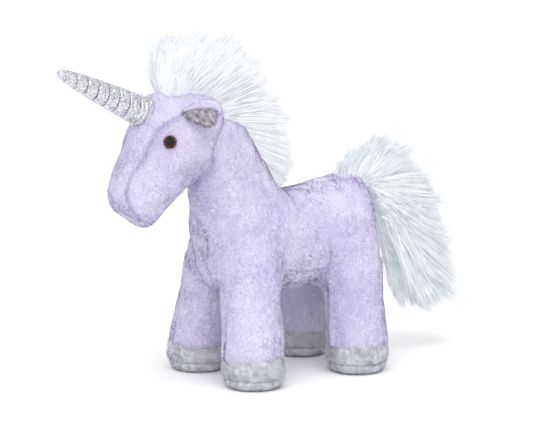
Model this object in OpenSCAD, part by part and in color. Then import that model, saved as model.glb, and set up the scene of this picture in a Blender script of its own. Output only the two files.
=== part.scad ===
// Standing plush unicorn: short-pile lavender body, white long-pile mane and
// tail, silver fabric horn wound with thread, grey plush hooves and ear linings.
// It faces -Y, its left side is +X and its soles stand on Z = 0.
// Each body of the toy is a stuffed core inside sewn fabric panels. The neck,
// head, horn, ears, legs and tail are separate bodies that bend at their seams.

/* [Body] */
// Height of the middle of the padded body
body_mid_height = 78; // [70:0.5:86]
// Half of the padded body's width
body_half_width = 29; // [24:0.5:32]
// Half of the padded body's height
body_half_height = 29.5; // [25:0.5:32]
// Thickness of the short-pile fabric with its pile
fabric = 1.6; // [1:0.1:2.5]

/* [Legs] */
// Height of the hip hinge lines
hip_height = 65; // [60:0.5:70]
// Distance from the middle plane to each hip centre
hip_side = 17; // [16:0.5:20]
// Distance from the middle plane to each hoof centre
hoof_side = 29; // [26:0.5:31]
// Radius of the rounded leg top
leg_top_radius = 14; // [12:0.5:14.5]
// Radius of the leg tube
leg_radius = 17; // [14:0.5:17]
// Radius of the hoof band
hoof_radius = 17.4; // [15:0.2:18.5]
// Height of the hoof from the floor to its top seam
hoof_height = 18; // [14:0.5:22]
// Height of the sole's stitched seam above the floor
sole_height = 4.5; // [3:0.5:6]

/* [Neck and head] */
// Forward lean of the neck in degrees
neck_lean = 21.2; // [18:0.2:24]
// Length of the neck from its hinge line to the head seam
neck_length = 46; // [42:0.5:48]
// Half width of the forehead gusset
forehead_half = 12; // [8:0.5:14]
// Half width of the chin gusset
chin_half = 9; // [6:0.5:11]
// Outer diameter of the embroidered eye ring
eye_diameter = 7.5; // [6:0.1:9]
// Diameter of the satin stitched pupil
pupil_diameter = 4.4; // [3:0.1:5]

/* [Horn] */
// Length of the horn from its hinge line to the start of its round tip
horn_length = 57; // [45:0.5:65]
// Radius of the horn at its base
horn_base_radius = 8.4; // [7:0.1:9]
// Radius of the horn's round tip
horn_tip_radius = 1.5; // [1:0.1:2.5]
// Number of turns of the wound thread
thread_turns = 7; // [5:1:9]

/* [Ears] */
// Length of the ear from its seam to its tip
ear_length = 15; // [12:0.5:20]
// Half of the ear's width along its seam
ear_half_width = 11.5; // [8:0.5:14]
// Droop of the ear below the horizontal in degrees
ear_droop = 27; // [15:1:30]

/* [Mane and tail] */
// Half of the mane's greatest thickness
mane_half = 11; // [7:0.5:13]
// Half of the tail's greatest thickness
tail_half = 12.5; // [8:0.5:15]

/* [Clearance] */
// Gap between bodies that move against each other
joint_gap = 0.6; // [0.4:0.1:1]
// Gap between a fabric panel and the stuffing under it
stuffing_gap = 0.3; // [0.2:0.1:0.5]

/* [View] */
// Which piece to show

/* [Hidden] */
$fn = 28;
// Shift along Y that puts the origin under the middle of the overall length.
mid_shift = 6.9;
// Inner surface of the stuffing space, measured inwards from the pile.
core = fabric + stuffing_gap;

// Fabric colours.
lavender = [0.80, 0.76, 0.92];
white_fur = [0.95, 0.96, 0.97];
grey_plush = [0.70, 0.70, 0.74];
silver = [0.66, 0.67, 0.72];
fill = [0.93, 0.93, 0.91];

// Hip centres [x, y, z] and hoof centres on the top seam of the hoof.
front_hip = [hip_side, -31.5 + mid_shift, hip_height];
front_hoof = [hoof_side, -37 + mid_shift, hoof_height];
hind_hip = [hip_side, 37.5 + mid_shift, hip_height];
hind_hoof = [hoof_side - 0.5, 36.5 + mid_shift, hoof_height];
hip_swing = 15;

// Neck hinge, leaning axis and head seam.
neck_base = [0, -26.5 + mid_shift, 92];
neck_swing = 12;
neck_plug = 16;

// Horn seat on the forehead.
horn_base = [0, -94 + mid_shift, 159.6];
horn_tilt = 64.5;

// Left ear seam and left eye centre with the eye's facing direction.
ear_base = [21.5, -64 + mid_shift, 159.5];
eye_centre = [20.1, -87.3 + mid_shift, 143.8];
eye_facing = [0.911, -0.338, 0.237];

// Tail hinge, direction of the tail root and start of the long pile.
tail_hinge = [0, 52 + mid_shift, 101];
tail_angle = 60;
tail_root_length = 10;

// Each loft section is [y, z, direction, half size in the middle plane, half width].
torso_sections = [
    [-51, 0, 0, 12, 12], [-48, 0, 0, 20, 18], [-41, 0, 0, 27, 25],
    [-28, 0, 0, body_half_height, body_half_width - 1],
    [-8, 0, 0, body_half_height - 0.5, body_half_width],
    [12, 0, 0, body_half_height - 0.5, body_half_width],
    [30, 0.5, 0, body_half_height + 0.5, body_half_width + 1],
    [43, 1, 0, body_half_height, body_half_width - 1],
    [53, 0, 0, 25, 23], [57.5, -1, 0, 16, 14]
];
head_sections = [
    [-51, 166, -125, 9, 9], [-56, 160, -125, 19, 18], [-66, 150, -125, 27, 22],
    [-77, 136.7, -125, 26, 22], [-86, 123.5, -125, 21, 20],
    [-93.5, 113, -125, 18, 18], [-99.5, 104.5, -128, 15, 15.5], [-103, 99.5, -128, 9, 9]
];
mane_sections = [
    [-87, 174, 8, 5, 2.5], [-84.5, 178, 2, 13, 0.5 * mane_half],
    [-75, 183, -4, 17, 0.8 * mane_half], [-61, 184, -10, 19, mane_half],
    [-46, 178, -20, 21, mane_half], [-36, 170, -32, 19, mane_half],
    [-27, 158, -46, 17, mane_half], [-19, 144, -58, 14, 0.95 * mane_half],
    [-10, 131, -70, 12, 0.85 * mane_half], [-4, 119, -78, 9.5, 0.7 * mane_half],
    [-2, 112, -80, 6, 0.4 * mane_half]
];
tail_sections = [
    [57, 109.7, 60, 6.5, 4.4], [60.5, 114.5, 48, 10, 6], [68, 118, 22, 14, 8.5],
    [79, 115.5, -12, 17.5, 0.88 * tail_half], [92, 105, -45, 20, 0.96 * tail_half],
    [102, 86, -66, 21.5, tail_half], [107, 62, -80, 24, tail_half],
    [109.5, 42, -84, 24, 0.95 * tail_half], [110, 31, -87, 19, 0.7 * tail_half]
];

// Ring of a rounded-oval loft section.
function ring(s, rise, k, n, grow, thin) = [
    for (i = [0:n - 1])
        let (
            c = cos(360 * i / n), q = sin(360 * i / n),
            u = (s[4] * thin + grow) * sign(c) * pow(abs(c), 2 / k),
            v = (s[3] * thin + grow) * sign(q) * pow(abs(q), 2 / k)
        )
        [u, s[0] + mid_shift - v * sin(s[2]), s[1] + rise + v * cos(s[2])]
];

// First and last sections also move along the loft when it grows or shrinks.
function ends(sections, grow) = [
    for (i = [0:len(sections) - 1])
        let (
            s = sections[i],
            m = i == 0 ? -grow : (i == len(sections) - 1 ? grow : 0)
        )
        [s[0] + m * cos(s[2]), s[1] + m * sin(s[2]), s[2], s[3], s[4]]
];

// Closed solid through a row of rounded-oval sections.
module loft(sections, rise = 0, k = 2.3, n = 28, grow = 0, thin = 1) {
    moved = ends(sections, grow);
    rows = len(moved);
    points = [for (s = moved) each ring(s, rise, k, n, grow, thin)];
    sides = [
        for (r = [0:rows - 2], i = [0:n - 1])
            let (j = (i + 1) % n)
            each [
                [r * n + i, r * n + j, (r + 1) * n + j],
                [r * n + i, (r + 1) * n + j, (r + 1) * n + i]
            ]
    ];
    caps = [
        [for (i = [n - 1:-1:0]) i],
        [for (i = [0:n - 1]) (rows - 1) * n + i]
    ];
    polyhedron(points, concat(sides, caps), convexity = 6);
}

// Puts the local Z axis of its children along a direction, at a point.
module along(point, direction) {
    d = direction / norm(direction);
    translate(point)
        rotate([0, acos(d[2]), atan2(d[1], d[0])])
            children();
}

// Turns its children about a line along X through a point.
module swing(point, angle) {
    translate(point)
        rotate([angle, 0, 0])
            translate(-point)
                children();
}

// Keeps a padded shape at its own size, as one soft solid with flat facets.
module padded() {
    resize([0, 0, 0])
        children();
}

// Large block that keeps one side of the middle plane.
module side_half(side) {
    translate([side > 0 ? 0 : -200, -200, -50])
        cube([200, 400, 300]);
}

// ---- Torso ----

module torso_outline(grow = 0) {
    loft(torso_sections, rise = body_mid_height, grow = grow);
}

// Room that one leg needs in the torso over its swing.
module leg_room(hip, hoof) {
    translate(hip)
        sphere(leg_top_radius + joint_gap);
    for (angle = [-hip_swing, 0, hip_swing])
        swing(hip, angle)
            along(hip, hoof - hip)
                rotate_extrude()
                    polygon([
                        [0, 0], [leg_top_radius + joint_gap, 0],
                        [leg_radius - 1.2 + joint_gap, 10], [leg_radius + joint_gap, 22],
                        [leg_radius + joint_gap, 34], [0, 34]
                    ]);
}

module all_leg_room() {
    for (side = [0, 1])
        mirror([side, 0, 0]) {
            leg_room(front_hip, front_hoof);
            leg_room(hind_hip, hind_hoof);
        }
}

// Room that the neck needs in the torso over its bend.
module neck_room() {
    translate(neck_base)
        sphere(neck_plug + joint_gap);
    for (angle = [-neck_swing, 0, neck_swing])
        swing(neck_base, angle)
            neck_frame()
                translate([0, 0, -joint_gap])
                    neck_tube(joint_gap, 34);
    neck_frame()
        translate([-40, -60, -joint_gap])
            cube([80, 60, 40]);
}

// Room that the tail root needs in the torso over its lift.
module tail_room() {
    translate(tail_hinge)
        sphere(6.4 + joint_gap);
    for (angle = [-16, 0, 24])
        swing(tail_hinge, angle)
            along(tail_hinge, [0, cos(tail_angle), sin(tail_angle)])
                cylinder(r = 5.8 + joint_gap, h = 24);
}

module torso_room() {
    all_leg_room();
    neck_room();
    tail_room();
}

module torso_panel(side) {
    color(lavender)
        padded()
            difference() {
                intersection() {
                    torso_outline();
                    side_half(side);
                    translate([-60, -100, body_mid_height - 22])
                        cube([120, 200, 80]);
                }
                torso_outline(-fabric);
                torso_room();
            }
}

module torso_side_left() {
    torso_panel(1);
}

module torso_side_right() {
    torso_panel(-1);
}

module torso_belly_gusset() {
    color(lavender)
        padded()
            difference() {
                intersection() {
                    torso_outline();
                    translate([-60, -100, body_mid_height - 62])
                        cube([120, 200, 40]);
                }
                torso_outline(-fabric);
                torso_room();
            }
}

module torso_stuffing() {
    color(fill)
        padded()
            difference() {
                torso_outline(-core);
                torso_room();
            }
}

// ---- Neck ----

module neck_frame() {
    translate(neck_base)
        rotate([neck_lean, 0, 0])
            children();
}

// Tapered neck, round about its own leaning axis.
module neck_tube(grow, height) {
    rotate_extrude()
        polygon([
            [0, 0], [27 + grow, 0], [25.2 + grow, 0.31 * neck_length],
            [21.6 + grow, 0.74 * neck_length], [19.7 + grow, neck_length],
            [19.7 + grow, height], [0, height]
        ]);
}

module neck_panel(side) {
    color(lavender)
        intersection() {
            side_half(side);
            neck_frame()
                rotate_extrude()
                    polygon([
                        [27, 0], [25.2, 0.31 * neck_length], [21.6, 0.74 * neck_length],
                        [19.7, neck_length], [19.7 - fabric, neck_length],
                        [21.6 - fabric, 0.74 * neck_length],
                        [25.2 - fabric, 0.31 * neck_length], [27 - fabric, 0]
                    ]);
        }
}

module neck_panel_left() {
    neck_panel(1);
}

module neck_panel_right() {
    neck_panel(-1);
}

module neck_stuffing() {
    color(fill)
        union() {
            neck_frame()
                rotate_extrude()
                    polygon([
                        [0, 0], [27 - core, 0], [25.2 - core, 0.31 * neck_length],
                        [21.6 - core, 0.74 * neck_length], [19.7 - core, neck_length],
                        [0, neck_length]
                    ]);
            translate(neck_base)
                sphere(neck_plug);
        }
}

// ---- Head ----

// Head with the round nape that caps the neck.
module head_outline(grow = 0) {
    loft(head_sections, grow = grow);
    neck_frame()
        translate([0, 0, neck_length])
            sphere(19.7 + grow);
}

// The part of space above the head seam and outside the neck's own turning shape.
module neck_cut() {
    neck_frame()
        translate([0, 0, -30])
            rotate_extrude()
                polygon([
                    [0, 0], [28, 0], [28, 30], [25.2 + joint_gap, 30 + 0.31 * neck_length],
                    [21.6 + joint_gap, 30 + 0.74 * neck_length],
                    [19.7 + joint_gap, 30 + neck_length],
                    [19.7 + joint_gap, 30 + neck_length + joint_gap],
                    [0, 30 + neck_length + joint_gap]
                ]);
}

// The back of the neck below the head seam, where the head never reaches.
module nape_cut() {
    neck_frame()
        translate([-40, -2, -20])
            cube([80, 60, neck_length + joint_gap + 20]);
}

module horn_frame() {
    translate(horn_base)
        rotate([horn_tilt, 0, 0])
            children();
}

module horn_cut() {
    horn_frame() {
        sphere(horn_base_radius + joint_gap);
        cylinder(r = horn_base_radius + joint_gap, h = 20);
    }
}

module head_shell() {
    difference() {
        head_outline();
        head_outline(-fabric);
        neck_cut();
        nape_cut();
        horn_cut();
    }
}

// Block on the forehead side or chin side of the head's long line.
module head_slab(half, front) {
    translate([0, -77 + mid_shift, 136.7])
        rotate([-35, 0, 0])
            translate([-half, front ? -80 : 0, -100])
                cube([2 * half, 80, front ? 200 : 106]);
}

module head_side(side) {
    color(lavender)
        padded()
            difference() {
                intersection() {
                    head_shell();
                    side_half(side);
                }
                head_slab(forehead_half, true);
                head_slab(chin_half, false);
            }
}

module head_side_left() {
    head_side(1);
}

module head_side_right() {
    head_side(-1);
}

module head_forehead_gusset() {
    color(lavender)
        padded()
            intersection() {
                head_shell();
                head_slab(forehead_half, true);
            }
}

module head_chin_gusset() {
    color(lavender)
        padded()
            intersection() {
                head_shell();
                head_slab(chin_half, false);
            }
}

module head_stuffing() {
    color(fill)
        padded()
            difference() {
                head_outline(-core);
                neck_cut();
                nape_cut();
                horn_cut();
            }
}

// ---- Eyes ----

module eye_ring(side) {
    color([0.33, 0.16, 0.14])
        padded()
            mirror([side > 0 ? 0 : 1, 0, 0])
                difference() {
                    along(eye_centre, eye_facing)
                        difference() {
                            translate([0, 0, -2])
                                cylinder(r = eye_diameter / 2, h = 3);
                            translate([0, 0, -3])
                                cylinder(r = pupil_diameter / 2, h = 5);
                        }
                    loft(head_sections, grow = 0.02);
                }
}

module eye_pupil(side) {
    color([0.05, 0.05, 0.06])
        padded()
            mirror([side > 0 ? 0 : 1, 0, 0])
                difference() {
                    along(eye_centre, eye_facing)
                        translate([0, 0, -2])
                            cylinder(r = pupil_diameter / 2 - 0.02, h = 3.1);
                    loft(head_sections, grow = 0.02);
                }
}

module eye_ring_left() {
    eye_ring(1);
}

module eye_ring_right() {
    eye_ring(-1);
}

module eye_pupil_left() {
    eye_pupil(1);
}

module eye_pupil_right() {
    eye_pupil(-1);
}

// ---- Horn ----

lame = 0.8;

module horn_cover() {
    color(silver)
        horn_frame()
            rotate_extrude()
                polygon([
                    [horn_base_radius, 0], [horn_tip_radius, horn_length],
                    [0.8 * horn_tip_radius, horn_length + 0.8 * horn_tip_radius],
                    [0, horn_length + 1.2 * horn_tip_radius],
                    [0, horn_length], [horn_base_radius - lame, 0]
                ]);
}

module horn_stuffing() {
    color(fill)
        horn_frame()
            rotate_extrude()
                polygon([
                    [0, 1.6 - horn_base_radius],
                    [0.6 * (horn_base_radius - 1.4), 2.6 - horn_base_radius],
                    [0.92 * (horn_base_radius - 1.4), 0.45 * (1.6 - horn_base_radius)],
                    [horn_base_radius - 1.1, 0], [0.15, horn_length - 4], [0, horn_length - 4]
                ]);
}

// Thread wound in a climbing spiral round the horn.
function thread_row(t, sides) =
    let (
        height = 5 + t * (horn_length - 9),
        wide = horn_base_radius + (horn_tip_radius - horn_base_radius) * height / horn_length + 0.65,
        turn = 360 * thread_turns * t
    )
    [
        for (i = [0:sides - 1])
            let (
                a = 360 * i / sides,
                out = wide + 0.4 * cos(a)
            )
            [out * cos(turn), out * sin(turn), height + 0.4 * sin(a)]
    ];

module horn_thread() {
    sides = 5;
    rows = thread_turns * 16;
    points = [for (r = [0:rows]) each thread_row(r / rows, sides)];
    walls = [
        for (r = [0:rows - 1], i = [0:sides - 1])
            let (j = (i + 1) % sides)
            each [
                [r * sides + i, r * sides + j, (r + 1) * sides + j],
                [r * sides + i, (r + 1) * sides + j, (r + 1) * sides + i]
            ]
    ];
    caps = [
        [for (i = [sides - 1:-1:0]) i],
        [for (i = [0:sides - 1]) rows * sides + i]
    ];
    color([0.35, 0.36, 0.40])
        horn_frame()
            polyhedron(points, concat(walls, caps), convexity = 10);
}

// ---- Ears ----

// Leaf outline: straight seam on the Y axis, tip leaning to -Y.
module leaf(inset) {
    polygon([
        for (i = [0:16])
            let (
                t = -1 + i / 8,
                reach = pow(1 - t * t, 0.62)
            )
            [inset + (ear_length - 2 * inset) * reach, (ear_half_width - inset) * t - 4 * reach]
    ]);
}

module ear_place(side) {
    mirror([side > 0 ? 0 : 1, 0, 0])
        translate(ear_base)
            rotate([0, ear_droop, 0])
                translate([joint_gap, 0, 0])
                    children();
}

module ear_outer(side) {
    color(lavender)
        ear_place(side)
            linear_extrude(fabric)
                leaf(0);
}

module ear_lining(side) {
    color(grey_plush)
        ear_place(side)
            translate([0, 0, -fabric])
                linear_extrude(fabric)
                    leaf(0.8);
}

module ear_outer_left() {
    ear_outer(1);
}

module ear_lining_left() {
    ear_lining(1);
}

module ear_outer_right() {
    ear_outer(-1);
}

module ear_lining_right() {
    ear_lining(-1);
}

// ---- Mane ----

module mane_outline() {
    loft(mane_sections, k = 2, n = 24);
}

// Space above the head seam, for the head's part of the mane.
module above_head_seam() {
    neck_frame()
        translate([-60, -120, neck_length + joint_gap])
            cube([120, 240, 120]);
}

// Space between the head seam and the withers, for the neck's part of the mane.
module below_head_seam() {
    intersection() {
        neck_frame()
            translate([-60, 6, 0])
                cube([120, 120, neck_length]);
        translate([0, -4 + mid_shift, 114.4])
            rotate([14, 0, 0])
                translate([-60, -60, 0])
                    cube([120, 120, 60]);
    }
}

module mane_head_backing() {
    color(white_fur)
        padded()
            difference() {
                intersection() {
                    mane_outline();
                    head_outline(fabric);
                    above_head_seam();
                }
                head_outline(0.02);
            }
}

module mane_head_pile() {
    color(white_fur)
        padded()
            difference() {
                intersection() {
                    mane_outline();
                    above_head_seam();
                }
                head_outline(fabric + 0.02);
            }
}

module mane_neck_backing() {
    color(white_fur)
        padded()
            difference() {
                intersection() {
                    mane_outline();
                    below_head_seam();
                    neck_frame()
                        neck_tube(fabric, neck_length + 8);
                }
                neck_frame()
                    neck_tube(0.25, neck_length + 8);
            }
}

module mane_neck_pile() {
    color(white_fur)
        padded()
            difference() {
                intersection() {
                    mane_outline();
                    below_head_seam();
                }
                neck_frame()
                    neck_tube(fabric + 0.02, neck_length + 8);
            }
}

// ---- Legs and hooves ----

// Tapered leg with a rounded top, cut level at the top seam of the hoof.
module leg_solid(hip, hoof, grow) {
    difference() {
        along(hip, hoof - hip)
            rotate([0, 0, 20])
                rotate_extrude()
                    polygon([
                        [0, 0], [leg_top_radius + grow, 0], [leg_radius - 1.2 + grow, 10],
                        [leg_radius - 0.1 + grow, 22], [leg_radius - 0.3 + grow, 70], [0, 70]
                    ]);
        translate([-100, -150, -80 + hoof_height])
            cube([200, 300, 80]);
    }
}

module leg_panel(hip, hoof, outer) {
    color(lavender)
        difference() {
            leg_solid(hip, hoof, 0);
            leg_solid(hip, hoof, -fabric);
            along(hip, hoof - hip)
                translate([outer ? -60 : 0, -60, -30])
                    cube([60, 120, 130]);
        }
}

module hoof_outline(hoof, grow, low, high) {
    translate([hoof[0], hoof[1], 0])
        rotate_extrude()
            polygon([
                [0, low], [hoof_radius - 0.5 + grow, low],
                [hoof_radius + grow, 0.5 * (low + high)],
                [hoof_radius - 0.3 + grow, high], [0, high]
            ]);
}

module leg_core(hip, hoof) {
    color(fill)
        padded()
            union() {
                leg_solid(hip, hoof, -core);
                translate(hip)
                    sphere(leg_top_radius - core);
                hoof_outline(hoof, -core, 2, hoof_height);
            }
}

module hoof_band(hoof) {
    color(grey_plush)
        difference() {
            hoof_outline(hoof, 0, sole_height, hoof_height);
            hoof_outline(hoof, -fabric, sole_height - 0.01, hoof_height + 0.01);
        }
}

// Dished sole pad with a rounded lower edge and a flat standing face.
module hoof_sole(hoof) {
    color(grey_plush)
        translate([hoof[0], hoof[1], 0])
            rotate_extrude()
                polygon([
                    [0, 0], [12, 0], [14.6, 0.6], [16.2, 2], [hoof_radius - 0.5, sole_height],
                    [hoof_radius - 0.5 - fabric, sole_height], [hoof_radius - 0.5 - fabric, 1.7],
                    [0, 1.7]
                ]);
}

// A right leg is the mirror image of the left one.
module flip(side) {
    mirror([side > 0 ? 0 : 1, 0, 0])
        children();
}

module leg_front_left_outer_panel() {
    leg_panel(front_hip, front_hoof, true);
}

module leg_front_left_inner_panel() {
    leg_panel(front_hip, front_hoof, false);
}

module leg_front_left_stuffing() {
    leg_core(front_hip, front_hoof);
}

module hoof_front_left_band() {
    hoof_band(front_hoof);
}

module hoof_front_left_sole() {
    hoof_sole(front_hoof);
}

module leg_front_right_outer_panel() {
    flip(-1) leg_panel(front_hip, front_hoof, true);
}

module leg_front_right_inner_panel() {
    flip(-1) leg_panel(front_hip, front_hoof, false);
}

module leg_front_right_stuffing() {
    flip(-1) leg_core(front_hip, front_hoof);
}

module hoof_front_right_band() {
    flip(-1) hoof_band(front_hoof);
}

module hoof_front_right_sole() {
    flip(-1) hoof_sole(front_hoof);
}

module leg_hind_left_outer_panel() {
    leg_panel(hind_hip, hind_hoof, true);
}

module leg_hind_left_inner_panel() {
    leg_panel(hind_hip, hind_hoof, false);
}

module leg_hind_left_stuffing() {
    leg_core(hind_hip, hind_hoof);
}

module hoof_hind_left_band() {
    hoof_band(hind_hoof);
}

module hoof_hind_left_sole() {
    hoof_sole(hind_hoof);
}

module leg_hind_right_outer_panel() {
    flip(-1) leg_panel(hind_hip, hind_hoof, true);
}

module leg_hind_right_inner_panel() {
    flip(-1) leg_panel(hind_hip, hind_hoof, false);
}

module leg_hind_right_stuffing() {
    flip(-1) leg_core(hind_hip, hind_hoof);
}

module hoof_hind_right_band() {
    flip(-1) hoof_band(hind_hoof);
}

module hoof_hind_right_sole() {
    flip(-1) hoof_sole(hind_hoof);
}

// ---- Tail ----

module tail_frame() {
    along(tail_hinge, [0, cos(tail_angle), sin(tail_angle)])
        children();
}

// Line that the tail swings about, square to the root and in the middle plane.
module tail_swing_pin(radius, height) {
    along(
        tail_hinge + tail_root_length * [0, cos(tail_angle), sin(tail_angle)],
        [0, -sin(tail_angle), cos(tail_angle)]
    )
        cylinder(r = radius, h = height, center = true);
}

module tail_root() {
    color(lavender)
        difference() {
            union() {
                translate(tail_hinge)
                    sphere(6.4);
                tail_frame()
                    cylinder(r = 5, h = tail_root_length - 2);
            }
            tail_swing_pin(4.4 + joint_gap, 40);
        }
}

module tail_backing() {
    color(white_fur)
        padded()
            union() {
                tail_swing_pin(4.2, 9);
                loft(tail_sections, k = 2, n = 16, thin = 0.45);
            }
}

module tail_pile() {
    color(white_fur)
        padded()
            difference() {
                loft(tail_sections, k = 2, n = 24);
                tail_swing_pin(4.25, 9.1);
                loft(tail_sections, k = 2, n = 16, thin = 0.45, grow = 0.05);
            }
}

// ---- Pieces ----

torso_side_left();
torso_side_right();
torso_belly_gusset();
torso_stuffing();
neck_panel_left();
neck_panel_right();
neck_stuffing();
head_side_left();
head_side_right();
head_forehead_gusset();
head_chin_gusset();
head_stuffing();
eye_ring_left();
eye_pupil_left();
eye_ring_right();
eye_pupil_right();
horn_cover();
horn_stuffing();
horn_thread();
ear_outer_left();
ear_lining_left();
ear_outer_right();
ear_lining_right();
mane_head_backing();
mane_head_pile();
mane_neck_backing();
mane_neck_pile();
leg_front_left_outer_panel();
leg_front_left_inner_panel();
leg_front_left_stuffing();
hoof_front_left_band();
hoof_front_left_sole();
leg_front_right_outer_panel();
leg_front_right_inner_panel();
leg_front_right_stuffing();
hoof_front_right_band();
hoof_front_right_sole();
leg_hind_left_outer_panel();
leg_hind_left_inner_panel();
leg_hind_left_stuffing();
hoof_hind_left_band();
hoof_hind_left_sole();
leg_hind_right_outer_panel();
leg_hind_right_inner_panel();
leg_hind_right_stuffing();
hoof_hind_right_band();
hoof_hind_right_sole();
tail_root();
tail_backing();
tail_pile();
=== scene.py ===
"""Looks of the standing plush unicorn: short-pile skin, long-pile mane and tail, wound fabric horn."""

import math

import bpy
import numpy as np
import openvdb as vdb
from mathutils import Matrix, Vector
from mathutils.bvhtree import BVHTree


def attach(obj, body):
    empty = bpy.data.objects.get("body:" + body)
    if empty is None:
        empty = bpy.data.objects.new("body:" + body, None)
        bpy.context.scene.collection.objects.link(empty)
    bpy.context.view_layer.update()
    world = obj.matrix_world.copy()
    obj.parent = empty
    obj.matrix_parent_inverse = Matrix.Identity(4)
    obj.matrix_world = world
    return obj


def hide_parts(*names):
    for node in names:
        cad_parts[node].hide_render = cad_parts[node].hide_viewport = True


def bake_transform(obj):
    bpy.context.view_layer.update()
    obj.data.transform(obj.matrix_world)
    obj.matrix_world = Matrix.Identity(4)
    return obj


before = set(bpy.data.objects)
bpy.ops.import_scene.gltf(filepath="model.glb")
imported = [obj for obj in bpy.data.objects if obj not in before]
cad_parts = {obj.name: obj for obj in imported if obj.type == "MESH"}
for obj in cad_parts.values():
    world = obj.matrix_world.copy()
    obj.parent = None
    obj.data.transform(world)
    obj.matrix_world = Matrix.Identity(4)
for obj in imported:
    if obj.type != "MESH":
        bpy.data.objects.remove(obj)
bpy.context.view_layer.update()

FIBRE_SHARE = 1.0
STRAND_SHARE = 1.0
MM = 0.001
SHIFT = 6.9  # moves the drawing's middle to the frame's origin along Y, in mm
rng = np.random.default_rng(11)

# ---------------------------------------------------------------- measures (mm)

# Each section: x, y, z, direction in degrees, half size in the middle plane, half width.
TORSO = [
    (0, -51, 78, 0, 12, 12), (0, -48, 78, 0, 20, 18), (0, -41, 78, 0, 27, 25),
    (0, -28, 78, 0, 29.5, 28), (0, -8, 78, 0, 29, 29), (0, 12, 78, 0, 29, 29),
    (0, 30, 79.2, 0, 30.6, 30), (0, 43, 81, 0, 31, 28.5), (0, 53, 82.5, 0, 28, 24),
    (0, 58, 81.5, 0, 19, 15),
]
NECK = [
    (0, -21, 78, 111.2, 24, 22), (0, -26.5, 92, 111.2, 27, 25),
    (0, -31.7, 105.3, 111.2, 25.3, 24), (0, -38.8, 123.7, 111.2, 21.8, 21.2),
    (0, -43.2, 134.9, 111.2, 20, 19.8), (0, -47.5, 146, 111.2, 17.5, 17.5),
    (0, -50, 153, 111.2, 12, 12),
]
HEAD = [
    (0, -51, 166, -125, 10, 10), (0, -56, 160, -125, 19, 18), (0, -66, 150, -125, 26.7, 22),
    (0, -77, 136.7, -125, 25.5, 22), (0, -86.6, 124.0, -125, 20.2, 20),
    (0, -94.1, 113.4, -125, 17.5, 18), (0, -99.8, 104.7, -128, 14.6, 15.5),
    (0, -102.5, 100, -128, 9.5, 9.5),
]
FRONT_LEG = [
    (14, -30, 84, -90, 13, 11), (16, -31, 76, -90, 17, 15), (17.5, -31.5, 65, -90, 18, 17),
    (22, -34, 45, -90, 17, 17), (26.5, -36, 26, -90, 17.3, 17.3),
    (28.2, -36.8, 17, -90, 17.5, 17.5), (28.5, -37, 10, -90, 14, 14),
]
HIND_LEG = [
    (14, 36, 84, -90, 14, 11), (16, 37, 76, -90, 19, 16), (17.5, 37.5, 65, -90, 20, 17),
    (22, 38, 45, -90, 18, 17), (26.2, 37, 26, -90, 17.3, 17.2),
    (28, 36.7, 17, -90, 17.5, 17.5), (28.2, 36.5, 10, -90, 14, 14),
]
TAIL = [
    (0, 55, 106, 60, 6, 5), (0, 60.5, 114.5, 48, 10, 6), (0, 68, 118, 22, 14, 8.5),
    (0, 79, 115.5, -12, 17.5, 11), (0, 92, 105, -45, 20, 12), (0, 102, 86, -66, 21.5, 12.5),
    (0, 107, 62, -80, 23.5, 12.5), (0, 109.5, 42, -84, 23.5, 12), (0, 110, 33, -87, 22, 11),
]
HOOVES = [("front", 29.0, -37.0), ("hind", 28.5, 36.5)]
# Hoof outlines as (radius, height), from the bottom up.
HOOF_BAND = [(14.5, 5.6), (16.8, 6.4), (17.8, 8.4), (17.9, 12), (17.3, 16.2), (16.3, 18.2), (14, 18.0)]
HOOF_SOLE = [(0, 0.25), (8, 0.25), (12.6, 0.5), (15.4, 1.9), (16.9, 4.2), (16.6, 6.0), (14, 6.6)]
NECK_HINGE = np.array([0, -26.5, 92.0])
NECK_AXIS = np.array([0, -0.3616, 0.9323])
HEAD_SEAM = np.array([0, -56.0, 138.0])
HEAD_WAY = np.array([0, -0.957, 0.29])
HORN_BASE = np.array([0, -94.0, 159.6])
HORN_WAY = np.array([0, -0.9026, 0.4305])
EAR_BASE = np.array([18.6, -78.5, 159.6])
EYE = np.array([19.0, -86.4, 143.8])
LEG_SPLIT = 47.0  # height of the seam between torso and leg skins
LEG_END = 15.2  # height where the leg skins end inside the hoof bands

# Sewn seams as lines on the left side, mirrored to the right, and how much each one shows, in its
# groove and in the painted shade along it.
SHOWS = {
    "forehead": 1.0, "chin": 0.8, "neck": 0.8, "belly": 0.1,
    "front leg": 0.45, "hind leg": 0.45, "chest": 0.6,
}
SEAMS = {
    "forehead": [
        (17, -60, 163), (17, -77.7, 157.4), (14, -89, 151.3), (14.5, -94, 147.2), (15, -98.9, 141),
        (15, -101.5, 136.2), (14, -107.5, 131), (13, -111.4, 126.7), (12, -112.2, 117.2),
        (12, -107.8, 107.8), (11, -96.8, 100.4),
    ],
    "chin": [(11, -96.8, 100.4), (12, -86.8, 106.9), (12, -78.8, 114.1), (11, -71.5, 121.3)],
    "neck": [
        (19, -50, 158), (20, -53.8, 149.2), (21, -56.5, 142.8), (20.5, -56.8, 134.3),
        (19, -57.9, 125.7), (15, -62, 118.1), (6, -62, 114),
    ],
    "belly": [(27, -20.3, 70.3), (27, -10.6, 65.8), (27, 3.5, 63.1), (27, 17.8, 63.9)],
    "front leg": [(31, -50, 70), (24, -51.5, 45), (27, -53, 26), (28, -54, 17)],
    "hind leg": [(27, 14, 80), (26, 17, 66), (24, 19.5, 45), (26, 20, 26), (28, 20, 17)],
    "chest": [(9, -50, 88), (7, -49, 74), (5, -46, 62), (3, -40, 52)],
}
SEAM_DEPTH = 1.3
SEAM_SHADE_LINE, SEAM_DIP, SEAM_PULL = 0.95, 1.25, 3.6  # widths of its painted shade line, its groove, its slopes

# ---------------------------------------------------------------- shaping tools


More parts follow.
